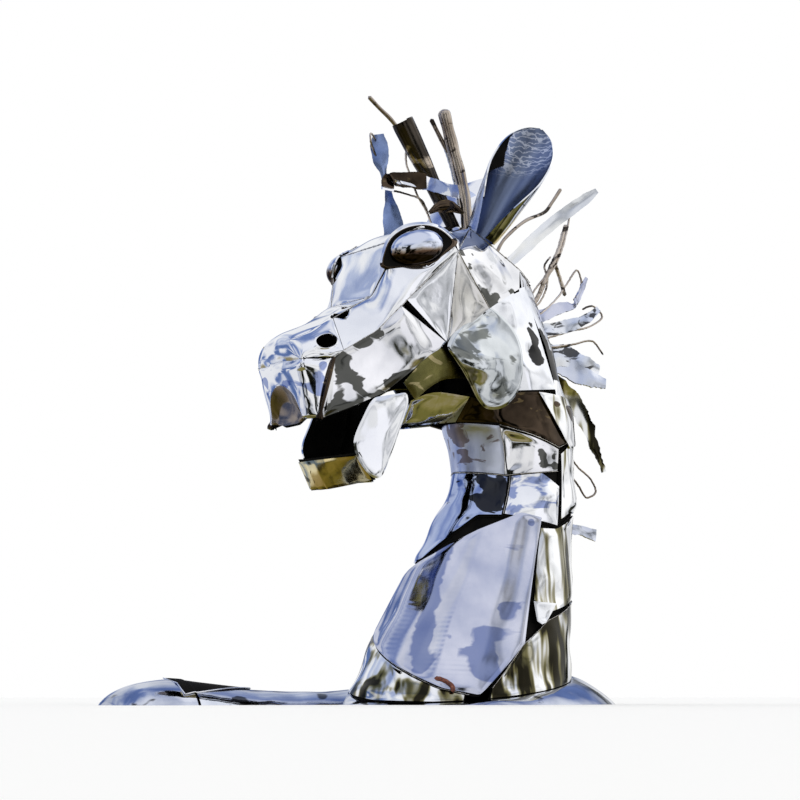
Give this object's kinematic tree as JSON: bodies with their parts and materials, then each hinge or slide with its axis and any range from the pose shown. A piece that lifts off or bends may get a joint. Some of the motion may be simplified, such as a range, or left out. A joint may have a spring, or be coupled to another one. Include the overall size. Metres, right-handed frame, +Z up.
{
  "type": "horse bust garden statue",
  "caption": "Horse's head and neck for a garden, welded from plates of mirror-polished steel sheet, with a mane of bars and rods, cut flat at the shoulders to stand.",
  "frame": {"origin": "on the flat cut that the bust stands on, under the middle of the neck, in the horse's plane of symmetry", "axes": "+Z up, the horse faces -X, its left side is -Y"},
  "size_m": [1.0569, 0.4, 1.1528],
  "materials": {
    "polished_sheet": "hand-hammered, mirror-polished stainless sheet",
    "eye_dome": "mirror-polished",
    "mane_bar": "polished, torch-cut edges",
    "base_sheet": "polished sheet"
  },
  "bodies": {
    "root": {"cheek_shield_left": "polished_sheet", "cheek_shield_right": "polished_sheet", "chin_plate": "polished_sheet", "collar_band_front": "polished_sheet", "collar_band_side": "polished_sheet", "crest_strip": "polished_sheet", "crown_plate": "polished_sheet", "ear_left": "polished_sheet", "ear_right": "polished_sheet", "eye_left": "eye_dome", "eye_right": "eye_dome", "face_plate_left": "polished_sheet", "face_plate_right": "polished_sheet", "forearm": "base_sheet", "forehead": "polished_sheet", "forelock_band": "mane_bar", "forelock_bar": "mane_bar", "forelock_pipe": "mane_bar", "forelock_rod": "mane_bar", "jaw_side_left": "polished_sheet", "jaw_side_right": "polished_sheet", "knee_cap": "base_sheet", "mane_blade": "mane_bar", "mane_bundle": "mane_bar", "mane_strip_low": "mane_bar", "mane_strip_middle": "mane_bar", "mane_strip_tail": "mane_bar", "mane_strip_upper": "mane_bar", "mane_twist": "mane_bar", "mane_wire": "mane_bar", "muzzle_cap": "polished_sheet", "muzzle_side_left": "polished_sheet", "muzzle_side_right": "polished_sheet", "nape_high_left": "polished_sheet", "nape_low_left": "polished_sheet", "nape_rear_left": "polished_sheet", "nape_right": "polished_sheet", "neck_big_plate": "polished_sheet", "neck_low_front": "polished_sheet", "neck_low_rear_left": "polished_sheet", "neck_low_rear_right": "polished_sheet", "neck_low_side_right": "polished_sheet", "neck_middle_right": "polished_sheet", "neck_rear_left": "polished_sheet", "neck_upper_rear_left": "polished_sheet", "neck_upper_right": "polished_sheet", "nose_bridge": "polished_sheet", "nostril_plate_left": "polished_sheet", "nostril_plate_right": "polished_sheet", "poll_plate_left": "polished_sheet", "poll_plate_right": "polished_sheet", "shoulder_section": "base_sheet", "temple_left": "polished_sheet", "temple_right": "polished_sheet", "throat_band_front": "polished_sheet", "throat_band_side": "polished_sheet", "throat_plate_left": "polished_sheet", "throat_plate_right": "polished_sheet", "upper_cheek_left": "polished_sheet", "upper_cheek_right": "polished_sheet"}
  },
  "joints": []
}
